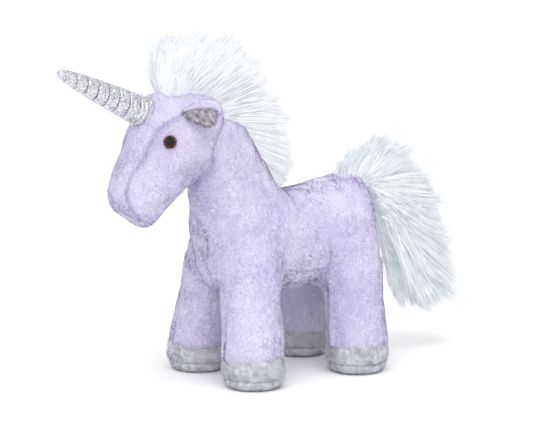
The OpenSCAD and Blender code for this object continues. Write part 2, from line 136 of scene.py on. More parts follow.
def spline(points_in, per_gap):
    """Catmull-Rom rows through the given rows."""
    s = np.array(points_in, float)
    p = np.vstack([2 * s[0] - s[1], s, 2 * s[-1] - s[-2]])
    rows = []
    for a, b, c, d in zip(p, p[1:], p[2:], p[3:]):
        for t in np.linspace(0, 1, per_gap, endpoint=False):
            rows.append(
                0.5 * (2 * b + (c - a) * t + (2 * a - 5 * b + 4 * c - d) * t * t
                       + (3 * b - a - 3 * c + d) * t ** 3)
            )
    rows.append(s[-1])
    return np.array(rows)


def rows_at(table, s):
    """Rows of a table at the fractional places s."""
    i = np.minimum(s.astype(int), len(table) - 2)
    w = (s - i)[:, None]
    return table[i] * (1 - w) + table[i + 1] * w


def grid_quads(rows, ring):
    """Faces of a tube made of rows that are each a closed ring of points."""
    i, j = np.meshgrid(np.arange(rows - 1), np.arange(ring), indexing="ij")
    a, b = (i * ring + j).ravel(), (i * ring + (j + 1) % ring).ravel()
    return np.stack([a, b, b + ring, a + ring], 1)


def loft(sections, mirror=1, power=2.2, per_gap=6, n=72, shrink=1.0, taper=0.0):
    """Closed mesh through sections. taper narrows it towards both edges in the middle plane."""
    rows = spline(sections, per_gap)
    rows[:, 4:] = np.maximum(rows[:, 4:], 0.5)
    m = len(rows)
    r = np.repeat(rows, n, axis=0)
    angle = np.tile(np.arange(n) * 2 * math.pi / n, m)
    th = np.radians(r[:, 3])
    c, q = np.cos(angle), np.sin(angle)
    u = r[:, 5] * np.sign(c) * np.abs(c) ** (2 / power) * shrink * (1 - taper * np.abs(q) ** 1.5)
    v = r[:, 4] * np.sign(q) * np.abs(q) ** (2 / power) * shrink
    pts = np.stack([r[:, 0] + u, r[:, 1] - v * np.sin(th), r[:, 2] + v * np.cos(th)], 1)
    pts = pts * [mirror, 1, 1]
    ends = np.array([pts[:n].mean(0), pts[-n:].mean(0)])
    k = np.arange(n)
    cap_a = np.stack([np.full(n, m * n), (k + 1) % n, k], 1)
    cap_b = np.stack([np.full(n, m * n + 1), (m - 1) * n + k, (m - 1) * n + (k + 1) % n], 1)
    return np.vstack([pts, ends]), np.vstack([cap_a, cap_b]), grid_quads(m, n)


# The grid that the skin is joined on: voxel size and low corner in mm, then size in voxels, and
# how many voxels on each side of a surface hold true distances.
VOXEL = 1.25
LOW = np.array([-56.0, -122.0, 0.0])
GRID = tuple(int(v) for v in np.ceil(np.array([112, 190, 186]) / VOXEL))
BAND = 9


def field(mesh):
    """Signed distance in mm to a closed mesh, on the shared grid."""
    pts, tris, quads = mesh
    p = (pts - LOW) / VOXEL
    # A mirrored or reversed mesh would come out inside out, so its volume decides the way round.
    t = np.vstack([tris, quads[:, :3], quads[:, [0, 2, 3]]])
    a, b, c = p[t[:, 0]], p[t[:, 1]], p[t[:, 2]]
    if np.einsum("ij,ij->i", a, np.cross(b, c)).sum() < 0:
        tris, quads = tris[:, ::-1], quads[:, ::-1]
    g = vdb.FloatGrid.createLevelSetFromPolygons(
        np.ascontiguousarray(p), triangles=np.ascontiguousarray(tris),
        quads=np.ascontiguousarray(quads),
        transform=vdb.createLinearTransform(voxelSize=1.0), halfWidth=BAND,
    )
    out = np.zeros(GRID, np.float32)
    g.copyToArray(out)
    return out * VOXEL


def join(a, b, soft):
    """Union of two distance fields, rounded over soft mm."""
    h = np.clip(0.5 + 0.5 * (b - a) / soft, 0, 1)
    return b * (1 - h) + a * h - soft * h * (1 - h)


def surface(dist):
    """Points and faces of the surface where a distance field is zero."""
    g = vdb.FloatGrid()
    g.copyFromArray(np.ascontiguousarray(dist))
    pts, _, quads = g.convertToPolygons(isovalue=0.0, adaptivity=0.0)
    return np.array(pts) * VOXEL + LOW, np.array(quads)[:, ::-1]


def tree_of(pts, faces):
    return BVHTree.FromPolygons([tuple(p) for p in pts], [tuple(int(i) for i in f) for f in faces])


def make_mesh(name, pts, faces, normals=None, materials=(), index=None, seam_shade=None):
    """Mesh object from mm points in the drawing's frame. faces is a list of index arrays."""
    me = bpy.data.meshes.new(name)
    co = (np.asarray(pts, float) + [0, SHIFT, 0]) * MM
    sizes = np.concatenate([np.full(len(f), f.shape[1]) for f in faces])
    loops = np.concatenate([f.ravel() for f in faces]).astype(np.int32)
    me.vertices.add(len(co))
    me.vertices.foreach_set("co", co.ravel().astype(np.float32))
    me.loops.add(len(loops))
    me.loops.foreach_set("vertex_index", loops)
    me.polygons.add(len(sizes))
    starts = np.concatenate([[0], np.cumsum(sizes)[:-1]]).astype(np.int32)
    me.polygons.foreach_set("loop_start", starts)
    if index is not None:
        me.polygons.foreach_set("material_index", index.astype(np.int32))
    me.polygons.foreach_set("use_smooth", np.ones(len(sizes), bool))
    me.update(calc_edges=True)
    for m in materials:
        me.materials.append(m)
    # Painted shade along the seams, which the material darkens the colour with.
    if seam_shade is not None:
        layer = me.attributes.new("seam_shade", "FLOAT", "POINT")
        layer.data.foreach_set("value", seam_shade.astype(np.float32))
    if normals is not None:
        me.normals_split_custom_set_from_vertices(normals.astype(np.float32))
    obj = bpy.data.objects.new(name, me)
    bpy.context.scene.collection.objects.link(obj)
    return obj


def add_map(obj, normals):
    """Six-way box layout, so that colours are stored without unwrapping every fibre."""
    me = obj.data
    layer = me.uv_layers.new(name="OFBake")
    n_loop, n_face = len(me.loops), len(me.polygons)
    corner = np.zeros(n_loop, np.int32)
    me.loops.foreach_get("vertex_index", corner)
    co = np.zeros(len(me.vertices) * 3, np.float32)
    me.vertices.foreach_get("co", co)
    co = co.reshape(-1, 3)
    low, high = co.min(0), co.max(0)
    q = (co - low) / (high - low + 1e-9)
    total, start = np.zeros(n_face, np.int32), np.zeros(n_face, np.int32)
    me.polygons.foreach_get("loop_total", total)
    me.polygons.foreach_get("loop_start", start)
    # A whole face goes to the side that its first corner's normal points to.
    n = normals[np.repeat(corner[start], total)]
    axis = np.abs(n).argmax(1)
    cell = axis * 2 + (n[np.arange(n_loop), axis] > 0).astype(int)
    uv = np.zeros((n_loop, 2), np.float32)
    for a, (i, j) in enumerate(((1, 2), (0, 2), (0, 1))):
        pick = axis == a
        uv[pick, 0], uv[pick, 1] = q[corner[pick], i], q[corner[pick], j]
    uv = uv * 0.94 + 0.03  # a margin round each of the 3 by 2 cells
    uv[:, 0] = (uv[:, 0] + cell % 3) / 3
    uv[:, 1] = (uv[:, 1] + cell // 3) / 2
    layer.data.foreach_set("uv", uv.ravel())


def unit(v):
    return v / (np.linalg.norm(v, axis=-1, keepdims=True) + 1e-12)


def vertex_normals(pts, faces):
    out = np.zeros_like(pts)
    for f in faces:
        for k in range(1, f.shape[1] - 1):
            c = np.cross(pts[f[:, k]] - pts[f[:, 0]], pts[f[:, k + 1]] - pts[f[:, 0]])
            for j in range(f.shape[1]):
                np.add.at(out, f[:, j], c)
    return unit(out)


def face_outward(pts, faces, centre):
    """The faces, all turned round if their normals point at the centre."""
    if ((pts - centre) * vertex_normals(pts, faces)).sum() < 0:
        return [f[:, ::-1] for f in faces]
    return faces


def waves(p, scale, seed):
    """Smooth noise, mostly in -1..1, from a few crossed sine waves."""
    r = np.random.default_rng(seed)
    out = np.zeros(len(p))
    for _ in range(7):
        k = r.normal(size=3)
        k = k / np.linalg.norm(k) * 2 * math.pi / scale * r.uniform(0.6, 1.5)
        out += np.sin(p @ k + r.uniform(0, 6.28))
    return out / 3.2


def waves3(p, scale, seed):
    """Three unlike waves as a vector at each point."""
    return np.stack([waves(p, scale, seed + k) for k in range(3)], 1)


# ---------------------------------------------------------------- materials


def material(name, build, rough, sheen=0.0, metal=0.0, painted_glow=0.0):
    m = bpy.data.materials.new(name)
    m.use_nodes = True
    nodes, links = m.node_tree.nodes, m.node_tree.links
    shader = nodes["Principled BSDF"]
    shader.inputs["Roughness"].default_value = rough
    shader.inputs["Sheen Weight"].default_value = sheen
    shader.inputs["Sheen Roughness"].default_value = 0.5
    shader.inputs["Metallic"].default_value = metal
    shader.inputs["Specular IOR Level"].default_value = 0.2
    # Painted light: a faint emission brightens the white pile, standing in for light passed on from
    # strand to strand inside it.
    shader.inputs["Emission Color"].default_value = (0.93, 0.96, 1.0, 1)
    shader.inputs["Emission Strength"].default_value = painted_glow
    build(nodes, links, shader)
    return m


def noise_colour(nodes, links, shader, stops, scale, detail, rough):
    """Base colour from noise through a ramp of (position, colour) stops."""
    where = nodes.new("ShaderNodeTexCoord")
    noise = nodes.new("ShaderNodeTexNoise")
    ramp = nodes.new("ShaderNodeValToRGB")
    noise.inputs["Scale"].default_value = scale
    noise.inputs["Detail"].default_value = detail
    noise.inputs["Roughness"].default_value = rough
    links.new(where.outputs["Object"], noise.inputs["Vector"])
    links.new(noise.outputs["Fac"], ramp.inputs["Fac"])
    elements = ramp.color_ramp.elements
    for k in (0, -1):
        elements[k].position = stops[k][0]
        elements[k].color = (*stops[k][1], 1)
    for at, colour in stops[1:-1]:
        elements.new(at).color = (*colour, 1)
    links.new(ramp.outputs["Color"], shader.inputs["Base Color"])


def plush_build(stops, scale, detail=3.0, rough=0.55):
    def build(nodes, links, shader):
        noise_colour(nodes, links, shader, stops, scale, detail, rough)
    return build


def seam_shaded_build(stops, scale, deep):
    """As plush_build, with painted shade: the colour deepens along the seams, where their grooves pull
    the pile in.
    """
    def build(nodes, links, shader):
        plush_build(stops, scale)(nodes, links, shader)
        source = shader.inputs["Base Color"].links[0].from_socket
        # Painted shade: a per-point attribute mixes the deep colour in along the seams.
        where = nodes.new("ShaderNodeAttribute")
        mix = nodes.new("ShaderNodeMix")
        where.attribute_name = "seam_shade"
        mix.data_type = "RGBA"
        first, second = [v for v in mix.inputs if v.type == "RGBA"]
        result = [v for v in mix.outputs if v.type == "RGBA"][0]
        second.default_value = (*deep, 1)
        links.new(where.outputs["Fac"], mix.inputs["Factor"])
        links.new(source, first)
        links.new(result, shader.inputs["Base Color"])
    return build


LILAC = [(0.3, (0.60, 0.54, 0.80)), (0.5, (0.69, 0.65, 0.85)), (0.7, (0.75, 0.72, 0.88))]
# Painted shade colour that the seams' lines and grooves darken towards.
SEAM_SHADE_COLOUR = (0.27, 0.20, 0.47)
LILAC_PILE = [(0.3, (0.66, 0.60, 0.83)), (0.5, (0.74, 0.70, 0.875)), (0.7, (0.80, 0.77, 0.91))]
GREYS = [(0.3, (0.60, 0.61, 0.67)), (0.5, (0.71, 0.72, 0.78)), (0.72, (0.82, 0.84, 0.88))]
WHITES = [(0.3, (0.74, 0.77, 0.79)), (0.5, (0.79, 0.81, 0.83)), (0.7, (0.84, 0.86, 0.87))]
TAIL_WHITES = [(0.3, (0.62, 0.65, 0.67)), (0.5, (0.70, 0.73, 0.75)), (0.7, (0.78, 0.80, 0.82))]
SILVERS = [(0.32, (0.22, 0.22, 0.26)), (0.48, (0.60, 0.61, 0.65)), (0.64, (0.93, 0.94, 0.96))]
LININGS = [(0.3, (0.26, 0.24, 0.29)), (0.5, (0.50, 0.46, 0.54)), (0.7, (0.78, 0.75, 0.82))]
# The horn's thread is real, but its dark grey is painted shade of the wound groove it lies in.
WINDING_GROOVE_SHADES = [(0.3, (0.16, 0.16, 0.20)), (0.7, (0.42, 0.42, 0.46))]
IRISES = [(0.3, (0.04, 0.016, 0.016)), (0.55, (0.11, 0.045, 0.042)), (0.75, (0.26, 0.15, 0.145))]
PUPILS = [(0.3, (0.004, 0.004, 0.006)), (0.7, (0.02, 0.02, 0.03))]

plush = material("lavender_plush", seam_shaded_build(LILAC, 42, SEAM_SHADE_COLOUR), 0.95, 0.12)
pile = material("lavender_pile", seam_shaded_build(LILAC_PILE, 48, SEAM_SHADE_COLOUR), 0.95, 0.12)
grey = material("grey_plush", plush_build(GREYS, 260), 0.95, 0.2)
# The white furs carry painted light: their glow brightens the shade between strands.
white = material("white_fur", plush_build(WHITES, 160), 0.8, 0.1, painted_glow=0.18)
white_tail = material("white_fur_tail", plush_build(TAIL_WHITES, 160), 0.8, 0.1, painted_glow=0.17)
lining = material("ear_lining", plush_build(LININGS, 420), 0.95, 0.1)
silver = material("silver_lame", plush_build(SILVERS, 950, 4, 0.7), 0.36, metal=0.7)
winding = material("horn_winding_groove_shade", plush_build(WINDING_GROOVE_SHADES, 700), 0.6)
iris = material("eye_iris_thread", plush_build(IRISES, 900), 0.35)
pupil = material("eye_pupil_thread", plush_build(PUPILS, 900), 0.3)

# ---------------------------------------------------------------- skin


def seam_lines(tree):
    """Seam points put onto the skin, close together, on both sides."""
    out = []
    for label, line in SEAMS.items():
        p = np.array(line, float)
        q = rows_at(p, np.linspace(0, len(p) - 1, (len(p) - 1) * 30 + 1))
        for side in (1, -1):
            hit = [tree.find_nearest(Vector(v * [side, 1, 1]))[0] for v in q]
            out.append((np.array([tuple(h) for h in hit]), SHOWS[label]))
    return out


dist = field(loft(TORSO, power=2.3))
dist = join(dist, field(loft(NECK)), 9.0)
for side in (1, -1):
    dist = join(dist, field(loft(FRONT_LEG, side)), 5.0)
    dist = join(dist, field(loft(HIND_LEG, side)), 5.0)
dist = join(dist, field(loft(HEAD, power=2.3, taper=0.30)), 2.0)
points, quad = surface(dist)
normal = vertex_normals(points, [quad])

# Seams pull the skin in, stuffing makes it softly uneven.
groove = np.zeros(len(points))
# thin is the painted shade along each seam's line; groove is how far the skin sinks.
thin = np.zeros(len(points))
for line, shows in seam_lines(tree_of(points, quad)):
    low, high = line.min(0) - 6, line.max(0) + 6
    pick = np.where(np.all((points > low) & (points < high), 1))[0]
    gap = np.full(len(pick), 1e9)
    for q in line:
        gap = np.minimum(gap, ((points[pick] - q) ** 2).sum(1))
    gap = np.sqrt(gap)
    dip = np.exp(-((gap / SEAM_DIP) ** 2)) + 0.35 * np.exp(-((gap / SEAM_PULL) ** 2))
    thin[pick] = np.maximum(thin[pick], shows * np.exp(-((gap / SEAM_SHADE_LINE) ** 2)))
    groove[pick] = np.maximum(groove[pick], (0.4 + 0.6 * shows) * dip)
points = points - normal * (SEAM_DEPTH * groove)[:, None]
# Painted shade: the colour darkens along the seam lines and a little in their grooves, standing in for
# the shade that falls there.
seam_shade_at = np.clip(thin * 0.46 + groove * 0.08, 0, 0.6)
points = points + normal * (0.45 * waves(points, 22, 3) + 0.25 * waves(points, 9, 4))[:, None]
normal = vertex_normals(points, [quad])
skin_tree = tree_of(points, quad)


def fibres(pts, nrm, faces, density, length, width, nap, spread, seed, curl=0.0, worn=None):
    """Short pile: one thin blade a fibre, shaded with the skin under it.

    density is in fibres per mm2, nap gives the combed direction at a point, curl how much the
    fibres wind, and worn how much shorter they are."""
    r = np.random.default_rng(seed)
    a, b, c, d = (pts[faces[:, k]] for k in range(4))
    area = np.linalg.norm(np.cross(c - a, d - b), axis=1) / 2
    count = int(area.sum() * density * FIBRE_SHARE)
    f = r.choice(len(faces), count, p=area / area.sum())
    u, v = r.random((2, count, 1))
    corner = faces[f]
    root = (pts[corner[:, 0]] * (1 - u) * (1 - v) + pts[corner[:, 1]] * u * (1 - v)
            + pts[corner[:, 2]] * u * v + pts[corner[:, 3]] * (1 - u) * v)
    n = unit(nrm[corner[:, 0]])
    g = nap(root)
    g = g + 0.5 * waves3(root, 16, seed)
    g = g - n * (g * n).sum(1)[:, None]
    g = g + spread * r.normal(size=(count, 3))
    if curl:
        g = g + curl * waves3(root, 3.2, seed + 5)
    g = g - n * (g * n).sum(1)[:, None]
    way = unit(0.34 * n + g)
    side = unit(np.cross(way, n)) * width / 2
    size = length * r.uniform(0.65, 1.15, (count, 1))
    if worn is not None:
        size = size * (1 - 0.65 * np.clip(worn[corner[:, 0]], 0, 1))[:, None]
    base = root - n * 0.3
    p = np.stack([base + side, base - side, root + way * size], 1)
    flip = (np.cross(p[:, 1] - p[:, 0], p[:, 2] - p[:, 0]) * n).sum(1) < 0
    p[flip] = p[flip][:, [1, 0, 2]]
    lie = unit(np.cross(p[:, 1] - p[:, 0], p[:, 2] - p[:, 0]))
    nn = unit(n + 0.45 * lie + 0.16 * r.normal(size=(count, 3)))
    # The under side of each blade is what shows along an outline.
    under = p[:, [0, 2, 1]] - n[:, None] * 0.02
    nu = unit(np.cross(under[:, 1] - under[:, 0], under[:, 2] - under[:, 0]))
    p = np.concatenate([p, under]).reshape(-1, 3)
    shade = np.repeat(np.concatenate([nn, nu]), 3, axis=0)
    own = np.repeat(np.tile(corner[:, 0], 2), 3)
    return p, np.arange(count * 6).reshape(-1, 3), shade, own


def piece(name, pick, density, length, width, nap, spread, mats, seed, curl=0.0, src=None):
    """Faces that pick chooses from the skin or from src, with their pile, as one object."""
    pts, nrm, faces = src or (points, normal, quad)
    keep = faces[pick]
    used, inverse = np.unique(keep, return_inverse=True)
    inverse = inverse.reshape(keep.shape)
    p, n = pts[used], nrm[used]
    worn = None if src else groove[used]
    hp, ht, hn, own = fibres(p, n, inverse, density, length, width, nap, spread, seed, curl, worn)
    all_p, all_n = np.vstack([p, hp]), np.vstack([n, hn])
    index = np.concatenate([np.zeros(len(inverse)), np.ones(len(ht))])
    seam_shade = None if src else np.concatenate([seam_shade_at[used], seam_shade_at[used][own]])
    obj = make_mesh(name, all_p, [inverse, ht + len(p)], all_n, mats, index, seam_shade=seam_shade)
    add_map(obj, all_n)
    return obj


def combed(*way):
    """Nap that lies the same way all over a piece."""
    return lambda p: np.tile(np.array(way, float), (len(p), 1))


def at_mm(p):
    """Point of the drawing as a place in the scene."""
    return Vector((p[0] * MM, (p[1] + SHIFT) * MM, p[2] * MM))


middle = points[quad].mean(1)
along_neck = (middle - NECK_HINGE) @ NECK_AXIS
along_head = (middle - HEAD_SEAM) @ HEAD_WAY
is_head = along_head > -8
is_neck = ~is_head & (along_neck > -2)
is_leg = ~is_head & ~is_neck & (middle[:, 2] < LEG_SPLIT)
is_torso = ~(is_head | is_neck | is_leg)
WHOLE = slice(None)
body_nap, head_nap, hoof_nap = combed(0, 0.35, -0.6), combed(0, -0.35, -0.6), combed(0, 0, -0.2)
BODY_PILE = {
    "density": 3.2, "length": 2.1, "width": 0.44, "nap": body_nap, "spread": 0.3, "mats": (plush, pile),
}
torso = piece("torso_skin", is_torso, **BODY_PILE, seed=21)
neck = piece("neck_skin", is_neck, **BODY_PILE, seed=22)
head = piece("head_skin", is_head, 3.3, 1.9, 0.42, head_nap, 0.28, (plush, pile), 23)
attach(torso, "torso")
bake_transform(neck)
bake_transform(head)
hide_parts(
    "torso_side_left", "torso_side_right", "torso_belly_gusset", "torso_stuffing",
)
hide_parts("neck_panel_left", "neck_panel_right", "neck_stuffing")
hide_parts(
    "head_side_left", "head_side_right", "head_forehead_gusset", "head_chin_gusset",
    "head_stuffing",
)

# ---------------------------------------------------------------- legs and hooves


def turned(profile, centre, rough, seed, n=96):
    """Uneven turned surface about a vertical line, from (radius, height) points, bottom to top."""
    p = spline(profile, 5)
    p[:, 0] = np.maximum(p[:, 0], 0.01)
    ang = np.arange(n) * 2 * math.pi / n
    ring = np.stack([np.outer(p[:, 0], np.cos(ang)), np.outer(p[:, 0], np.sin(ang)),
                     np.repeat(p[:, 1:2], n, 1)], 2).reshape(-1, 3)
    out = unit(ring * [1, 1, 0] + 1e-9)
    ring = ring + out * (rough * waves(ring, 8, seed))[:, None]
    return ring + [centre[0], centre[1], 0], grid_quads(len(p), n)


def rest_on_floor(obj):
    """Fibres that would go through the floor lie on it."""
    co = np.zeros(len(obj.data.vertices) * 3, np.float32)
    obj.data.vertices.foreach_get("co", co)
    co[2::3] = np.maximum(co[2::3], 0.0)
    obj.data.vertices.foreach_set("co", co)


for place, hoof_x, hoof_y in HOOVES:
    for side, sign in (("left", 1), ("right", -1)):
        body = f"leg_{place}_{side}"
        pick = is_leg & (middle[:, 0] * sign > 0) & ((middle[:, 1] < 5) == (place == "front"))
        pick &= middle[:, 2] > LEG_END
        leg = piece(f"{body}_skin", pick, **BODY_PILE, seed=31)
        top, low = at_mm((sign * 22, hoof_y, LEG_SPLIT)), at_mm((sign * 24, hoof_y, 28))
        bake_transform(leg)
        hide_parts(f"{body}_outer_panel", f"{body}_inner_panel", f"{body}_stuffing")
        for part, profile, length, seed in (("band", HOOF_BAND, 1.7, 41), ("sole", HOOF_SOLE, 1.2, 43)):
            p, q = turned(profile, (sign * hoof_x, hoof_y), 0.25, seed)
            n = vertex_normals(p, [q])
            obj = piece(
                f"hoof_{place}_{side}_{part}", WHOLE, 11, length, 0.4, hoof_nap, 0.35,
                (grey, grey), seed + 2, 0.7, (p, n, q),
            )
            rest_on_floor(obj)
            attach(obj, body)
            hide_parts(f"hoof_{place}_{side}_{part}")

# ---------------------------------------------------------------- long pile


STRAND_STEPS = 5


def strands(root, way, size, outward, width, bend, clump, seed, name, mat):
    """Tapered two-sided ribbons in clumps, shaded towards outward.

    way is the direction at the root, bend is added towards the tip."""
    r = np.random.default_rng(seed)
    count, steps = len(root), STRAND_STEPS
    t = np.linspace(0, 1, steps)[None, :, None]
    line = root[:, None] + way[:, None] * size[:, None, None] * t
    line = line + bend[:, None] * (t ** 2)
    # Clumps: every strand leans to the strand that leads its group, most at the tip.
    lead = r.choice(count, clump, replace=False)
    group = np.zeros(count, int)
    best = np.full(count, 1e9)
    for k, i in enumerate(lead):
        d = ((line[:, 0] - line[i, 0]) ** 2).sum(1) + 0.25 * ((line[:, -1] - line[i, -1]) ** 2).sum(1)
        closer = d < best
        best[closer], group[closer] = d[closer], i
    pull = (r.uniform(0.2, 0.75, (count, 1, 1))) * t ** 1.3
    line = line * (1 - pull) + line[group] * pull
    wobble = r.normal(size=(count, 1, 3)) * 0.5 * t
    wave = 0.5 * np.sin(t * 5 + r.uniform(0, 6, (count, 1, 1)))
    line = line + wobble + wave * r.normal(size=(count, 1, 3)) * t
    tangent = unit(np.gradient(line, axis=1))
    face = unit(outward + 0.6 * r.normal(size=(count, 3)))[:, None]
    side = unit(np.cross(tangent, face))
    facing = np.cross(side, tangent)
    w = width * (1 - t ** 3.5) * r.uniform(0.7, 1.3, (count, 1, 1)) / 2
    layers, shade = [], []
    for lift in (1, -1):
        mid = line + facing * (0.06 * lift)
        left, right = mid - side * w * lift, mid + side * w * lift
        body = np.stack([left[:, :-1], right[:, :-1]], 2).reshape(count, -1, 3)
        layers.append(np.concatenate([body, line[:, -1:]], 1))
        soft = 0.9 * outward[:, None] + 0.15 * tangent if lift > 0 else 0 * tangent
        n = unit(0.55 * facing * lift + soft + 0.12 * r.normal(size=(count, 1, 3)))
        shade.append(np.concatenate([np.repeat(n[:, :-1], 2, axis=1), n[:, -1:]], 1))
    p = np.concatenate(layers, 0)
    n = np.concatenate(shade, 0).reshape(-1, 3)
    per = p.shape[1]
    base = (np.arange(count * 2) * per)[:, None]
    k = np.arange(steps - 2)[None]
    a = base + 2 * k
    quads = np.stack([a, a + 1, a + 3, a + 2], 2).reshape(-1, 4)
    last = base[:, 0] + 2 * (steps - 2)
    tips = np.stack([last, last + 1, base[:, 0] + per - 1], 1)
    flat = p.reshape(-1, 3)
    turn = np.cross(flat[quads[:, 1]] - flat[quads[:, 0]], flat[quads[:, 3]] - flat[quads[:, 0]])
    if (turn * n[quads[:, 0]]).sum() < 0:
        quads, tips = quads[:, ::-1], tips[:, ::-1]
    obj = make_mesh(name, flat, [quads, tips], n, (mat,))
    add_map(obj, n)
    return obj


# Crest line: root near the skin (y, z), direction in degrees from +Y, pile length.
CREST = np.array([
    (-80.5, 169, 99, 27), (-78.5, 170, 91, 33), (-75.5, 170.5, 81, 37), (-70, 171, 65, 39),
    (-62, 170.5, 51, 40), (-54, 168.5, 36, 37), (-46, 163.5, 23, 36), (-39, 156, 7, 35),
    (-32, 147, -10, 34), (-25, 137, -20, 31), (-17, 128, -27, 22), (-9, 118, -36, 12),
    (-5, 112, -42, 6),
], float)
MANE_COUNT = int(24000 * STRAND_SHARE)
s = rng.random(MANE_COUNT) * (len(CREST) - 1)
crest = rows_at(CREST, s)
half = np.interp(s, [0, 2, 5, 8, 10, 12], [6, 9, 12, 13, 10.5, 5])
across = rng.uniform(-1, 1, MANE_COUNT)
ang = np.radians(crest[:, 2])
out = np.stack([0 * ang, np.cos(ang), np.sin(ang)], 1)
root = np.stack([across * half, crest[:, 0], crest[:, 1]], 1)
# Roots are found square to the crest, not along the combed pile.
rise = np.stack([np.interp(s, np.arange(len(CREST)), np.gradient(CREST[:, k])) for k in (0, 1)], 1)
up = unit(np.stack([0 * s, -rise[:, 1], rise[:, 0]], 1))
for k in range(MANE_COUNT):
    hit = skin_tree.ray_cast(Vector(root[k] + up[k] * 25), Vector(-up[k]))
    if hit[0] is not None:
        root[k] = tuple(hit[0])
root = root - up * 0.5
lean = np.stack([across * 0.42, 0 * across, 0 * across], 1)
way = unit(out + lean + 0.10 * rng.normal(size=(MANE_COUNT, 3)) + 0.12 * waves3(root, 14, 60))
size = crest[:, 3] * (1 - 0.28 * across ** 2) * rng.uniform(0.76, 1.05, MANE_COUNT)
size = size * (1 + 0.08 * waves(root, 9, 66))
bend = np.stack([across * -2.0, size * 0.10, -size * 0.05], 1) + 1.5 * waves3(root, 11, 70)
outward = np.stack([across * 1.2 + np.sign(across) * 0.4, 0 * ang, 0 * ang], 1)
outward = unit(outward + 0.6 * up)
on_head = ((root - HEAD_SEAM) @ HEAD_WAY) > -8


def mane(pick, clump, seed, name):
    """The strands of the mane that pick chooses."""
    chosen = (v[pick] for v in (root, way, size, outward))
    return strands(*chosen, 0.8, bend[pick], clump, seed, name, white)


mane_head = mane(on_head, 120, 81, "mane_head_pile")
mane_neck = mane(~on_head, 130, 82, "mane_neck_pile")
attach(mane_head, "head")
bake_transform(mane_neck)
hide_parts("mane_head_backing", "mane_head_pile")
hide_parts("mane_neck_backing", "mane_neck_pile")

# Tail pile fans out from a curved root strip: y, z, then direction and length of the innermost
# strands, then of the outermost ones.
FAN = np.array([
    (47, 104.5, 75, 10, 100, 13), (51, 106.5, 60, 15, 85, 20), (55, 108.5, 40, 26, 64, 27),
    (59, 109, 15, 34, 50, 34),
    (64, 106, -30, 36, 34, 40), (70, 100, -60, 36, 14, 43), (75, 90, -76, 42, -5, 52),
    (80, 78, -82, 38, -18, 57), (85, 66, -84, 27, -33, 61), (88, 56, -80, 18, -50, 42),
], float)
TAIL_COUNT = int(13500 * STRAND_SHARE)
s = rng.random(TAIL_COUNT) ** 0.95 * (len(FAN) - 1)
fan = rows_at(FAN, s)
f = rng.random(TAIL_COUNT) ** 0.85
across = rng.uniform(-1, 1, TAIL_COUNT)
half = np.interp(s, [0, 3, 6, 9], [5.5, 7.5, 8.5, 7])
root_y = fan[:, 0] + 2 * rng.normal(size=TAIL_COUNT)
root_z = fan[:, 1] + 1.5 * rng.normal(size=TAIL_COUNT)
root = np.stack([across * half, root_y, root_z], 1)
stray = waves(np.stack([across * 9, s * 6, f * 20], 1), 12, 95)
ang = np.radians(fan[:, 2] * (1 - f) + fan[:, 4] * f + 7 * stray)
size = (fan[:, 3] * (1 - f) + fan[:, 5] * f) * rng.uniform(0.74, 1.12, TAIL_COUNT)
size *= (1 - 0.12 * across ** 2) * (1 + 0.06 * waves(np.stack([s * 7, f * 30, across], 1), 7, 96))
way = unit(np.stack([across * 0.16, np.cos(ang), np.sin(ang)], 1))
bend = np.stack([0 * s, 0 * s, -size * 0.07], 1) + 1.2 * waves3(root + 40 * way, 14, 97)
shine = np.stack([across * 1.2 + np.sign(across) * 0.5, 0.25 * np.cos(ang) + 0.15, 0.45 + 0 * s], 1)
tail = strands(root, way, size, unit(shine), 0.95, bend, 230, 83, "tail_pile", white_tail)
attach(tail, "tail")
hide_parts("tail_pile")
p, t, q = loft(TAIL, power=2.0, per_gap=5, n=40, shrink=0.66)
t, q = face_outward(p, [t, q], p.mean(0))
tail_core = make_mesh("tail_backing", p, [t, q], vertex_normals(p, [t, q]), (white_tail,))
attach(tail_core, "tail")
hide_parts("tail_backing")

# ---------------------------------------------------------------- tail root


def tube(line, radii, n):
    """Round tube along a line of points, open at both ends."""
    line, radii = np.asarray(line, float), np.asarray(radii, float)
    tangent = unit(np.gradient(line, axis=0))
    helper = np.tile([1.0, 0, 0], (len(line), 1))
    helper[np.abs(tangent[:, 0]) > 0.8] = [0, 1.0, 0]
    a = unit(np.cross(tangent, helper))
    b = np.cross(tangent, a)
    ang = (np.arange(n) * 2 * math.pi / n)[None, :, None]
    ring = a[:, None] * np.cos(ang) + b[:, None] * np.sin(ang)
    p = line[:, None] + radii[:, None, None] * ring
    return p.reshape(-1, 3), grid_quads(len(line), n)


ROOT_LINE = [(0, 50, 98), (0, 53, 103), (0, 55.5, 107), (0, 57, 110)]
p, q = tube(ROOT_LINE, [7.6, 7, 6, 5], 40)
n = vertex_normals(p, [q])
tail_root = piece(
    "tail_root_skin", WHOLE, 3.2, 2.0, 0.42, body_nap, 0.3, (plush, pile), 51, src=(p, n, q),
)
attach(tail_root, "tail_root")
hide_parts("tail_root")

# ---------------------------------------------------------------- horn

HORN_LENGTH, HORN_FOOT, HORN_TIP = 58.0, 8.6, 1.4
TURNS, WIND_START, WIND_LENGTH = 7, 5, HORN_LENGTH - 9
HORN_X = np.array([1.0, 0, 0])
HORN_UP = unit(np.cross(HORN_WAY, HORN_X))


def horn_radius(at):
    """Radius of the horn before winding, a little fuller than a cone."""
    return HORN_TIP + (HORN_FOOT - HORN_TIP) * (1 - np.clip(at / HORN_LENGTH, 0, 0.995)) ** 0.55


def horn_point(at, radius, angle):
    """Points at a distance along the horn, and at a radius and an angle round its line."""
    ring = np.cos(angle)[..., None] * HORN_X + np.sin(angle)[..., None] * HORN_UP
    return HORN_BASE + at[..., None] * HORN_WAY + radius[..., None] * ring


